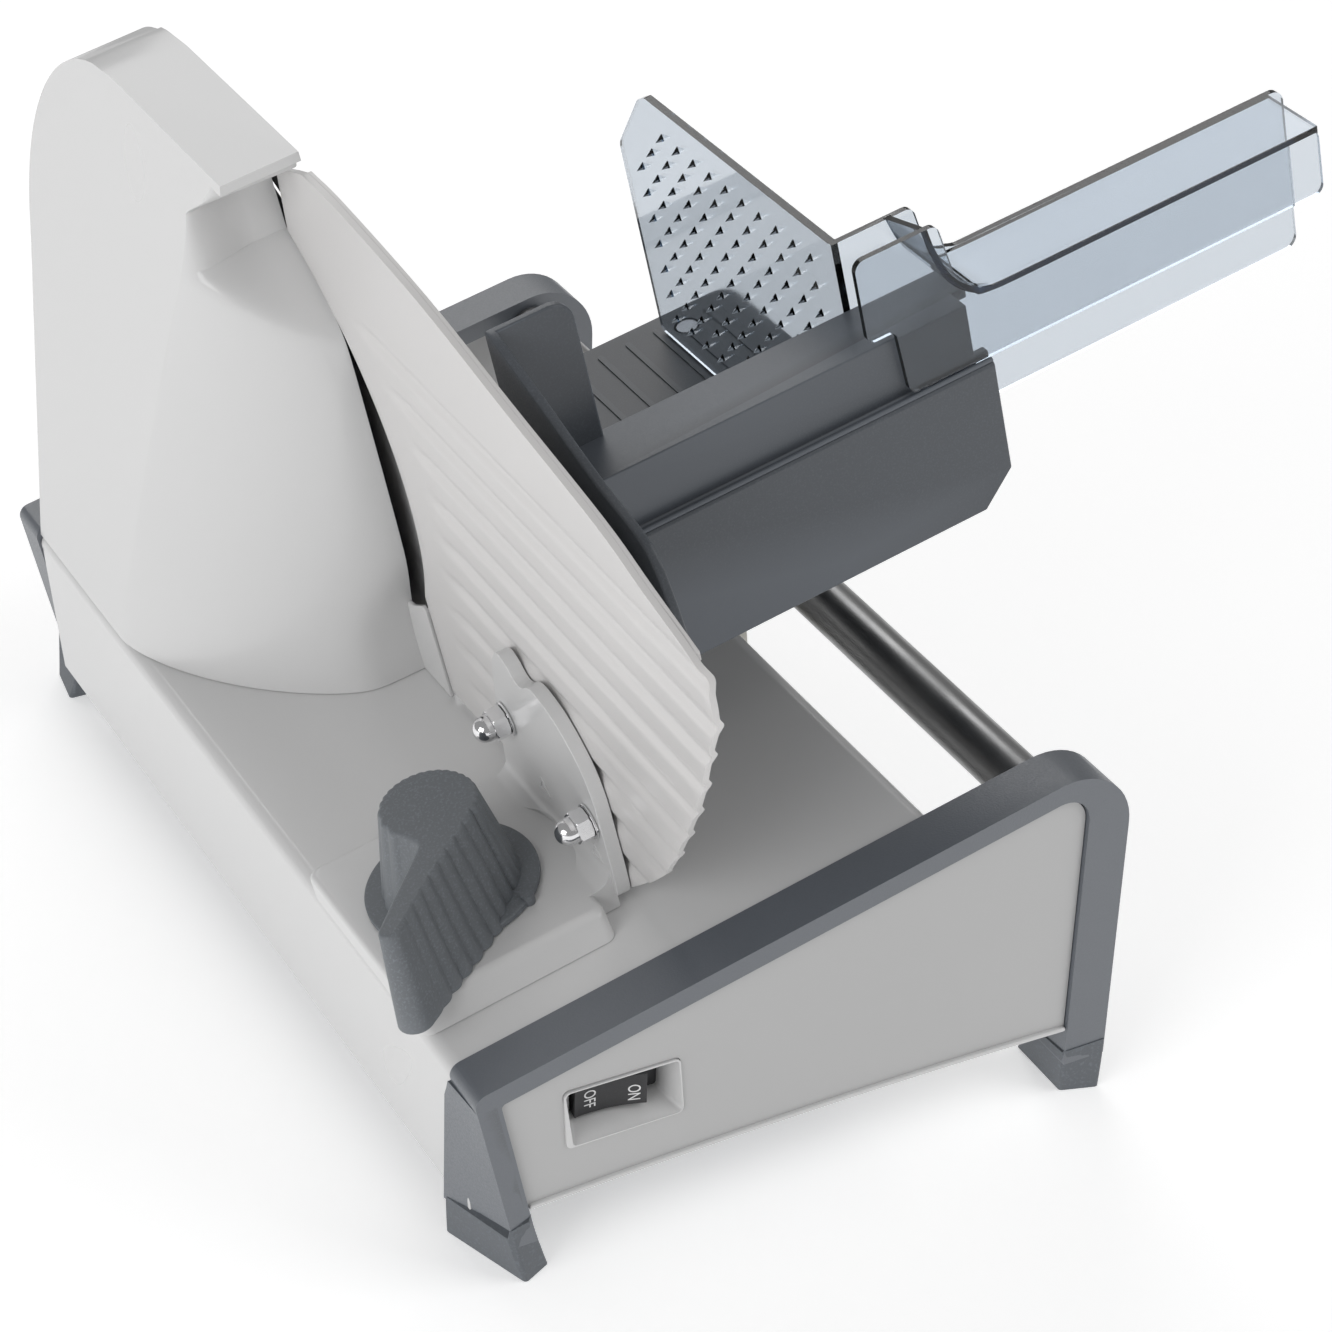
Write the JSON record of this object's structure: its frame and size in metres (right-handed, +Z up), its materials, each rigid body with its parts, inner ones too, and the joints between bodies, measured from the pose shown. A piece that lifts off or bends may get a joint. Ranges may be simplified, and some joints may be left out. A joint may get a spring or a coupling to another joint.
{
  "type": "deli meat slicer",
  "caption": "Tilted-deck electric food slicer with a round blade under a curved housing, sliding carriage, clear spiked food pusher, gauge plate and pointer thickness knob.",
  "frame": {"origin": "centre of the bounding box on the surface that the slicer stands on", "axes": "+Z up, +Y from the switch end to the rear, +X from the slice side up the tilted deck to the food side"},
  "size_m": [0.328, 0.4184, 0.2928],
  "materials": {
    "light_grey_enamel": "smooth satin enamel",
    "grey_panel": "satin painted sheet",
    "dark_grey_trim": "fine grained moulded plastic",
    "foot_rubber": "matte moulded rubber",
    "steel": "fine brushed",
    "motor_steel": "zinc plated sheet",
    "chrome": "polished plating",
    "gauge_enamel": "fine flutes along its length, satin anodised",
    "carriage_plastic": "fine grained moulded plastic",
    "smoke_plastic": "clear smoke tinted, polished",
    "knob_plastic": "satin moulded plastic",
    "black_plastic": "satin moulded plastic",
    "nylon": "natural moulded nylon",
    "bronze": "sintered bronze, oiled"
  },
  "bodies": {
    "frame": {"base_tray": "light_grey_enamel", "bottom_cover": "dark_grey_trim", "cover_screw_1": "steel", "cover_screw_2": "steel", "cover_screw_3": "steel", "cover_screw_4": "steel", "front_trim": "dark_grey_trim", "rear_trim": "dark_grey_trim", "front_panel": "grey_panel", "rear_panel": "grey_panel", "switch_pocket": "grey_panel", "switch_body": "black_plastic", "front_low_foot": "foot_rubber", "front_high_foot": "foot_rubber", "rear_low_foot": "foot_rubber", "rear_high_foot": "foot_rubber", "front_rail_screw": "steel", "rear_rail_screw": "steel", "carriage_rail": "steel", "guide_bar": "steel", "motor_housing": "light_grey_enamel", "gear_case": "black_plastic", "motor_case": "motor_steel", "inner_bush": "bronze", "outer_bush": "bronze", "power_inlet": "black_plastic", "blade_guard": "steel"},
    "blade_assembly": {"blade": "steel", "blade_arbor": "steel", "worm_wheel": "nylon", "blade_lock": "black_plastic"},
    "motor_rotor": {"motor_shaft": "steel", "cooling_fan": "black_plastic"},
    "carriage": {"carriage_wall": "carriage_plastic", "carriage_deck": "carriage_plastic", "carriage_arm": "carriage_plastic", "deck_screw_1": "steel", "deck_screw_2": "steel", "front_rail_bush": "nylon", "rear_rail_bush": "nylon", "guide_shoe": "nylon"},
    "pusher": {"food_pusher": "smoke_plastic"},
    "gauge": {"gauge_plate": "gauge_enamel", "gauge_bracket": "light_grey_enamel", "slide_platform": "light_grey_enamel", "cam_follower_pin": "steel", "upper_acorn_nut": "chrome", "lower_acorn_nut": "chrome", "upper_washer": "chrome", "lower_washer": "chrome"},
    "thickness_control": {"thickness_knob": "knob_plastic", "thickness_dial": "knob_plastic", "knob_shaft": "steel", "thickness_cam": "nylon"},
    "power_rocker": {"switch_rocker": "black_plastic"}
  },
  "joints": [
    {"name": "blade_spin", "type": "hinge", "parent": "frame", "child": "blade_assembly", "pos_m": [-0.09559, 0.08815, 0.17676], "axis": [0.9703, 0, 0.2419], "continuous": true},
    {"name": "motor_spin", "type": "hinge", "parent": "frame", "child": "motor_rotor", "pos_m": [-0.11812, 0.08815, 0.13898], "axis": [0, 1, 0], "continuous": true},
    {"name": "carriage_slide", "type": "slide", "parent": "frame", "child": "carriage", "axis": [0, 1, 0], "range_m": [-0.06, 0.105]},
    {"name": "pusher_slide", "type": "slide", "parent": "carriage", "child": "pusher", "axis": [0.9703, 0, 0.2419], "range_m": [-0.085, 0.02]},
    {"name": "gauge_slide", "type": "slide", "parent": "frame", "child": "gauge", "axis": [0.9703, 0, 0.2419], "range_m": [-0.0095, 0.002]},
    {"name": "thickness_turn", "type": "hinge", "parent": "frame", "child": "thickness_control", "pos_m": [-0.12123, -0.07955, 0.08946], "axis": [-0.2419, 0, 0.9703], "range_deg": [-133.5, 28.5]},
    {"name": "power_switch", "type": "hinge", "parent": "frame", "child": "power_rocker", "pos_m": [-0.10403, -0.14635, 0.0488], "axis": [0, 0, 1], "range_deg": [0, 16]}
  ],
  "couplings": [
    {"joint": "blade_spin", "follows": "motor_spin", "ratio": -0.05},
    {"joint": "thickness_turn", "follows": "gauge_slide", "rad_per_m": 244.35}
  ]
}
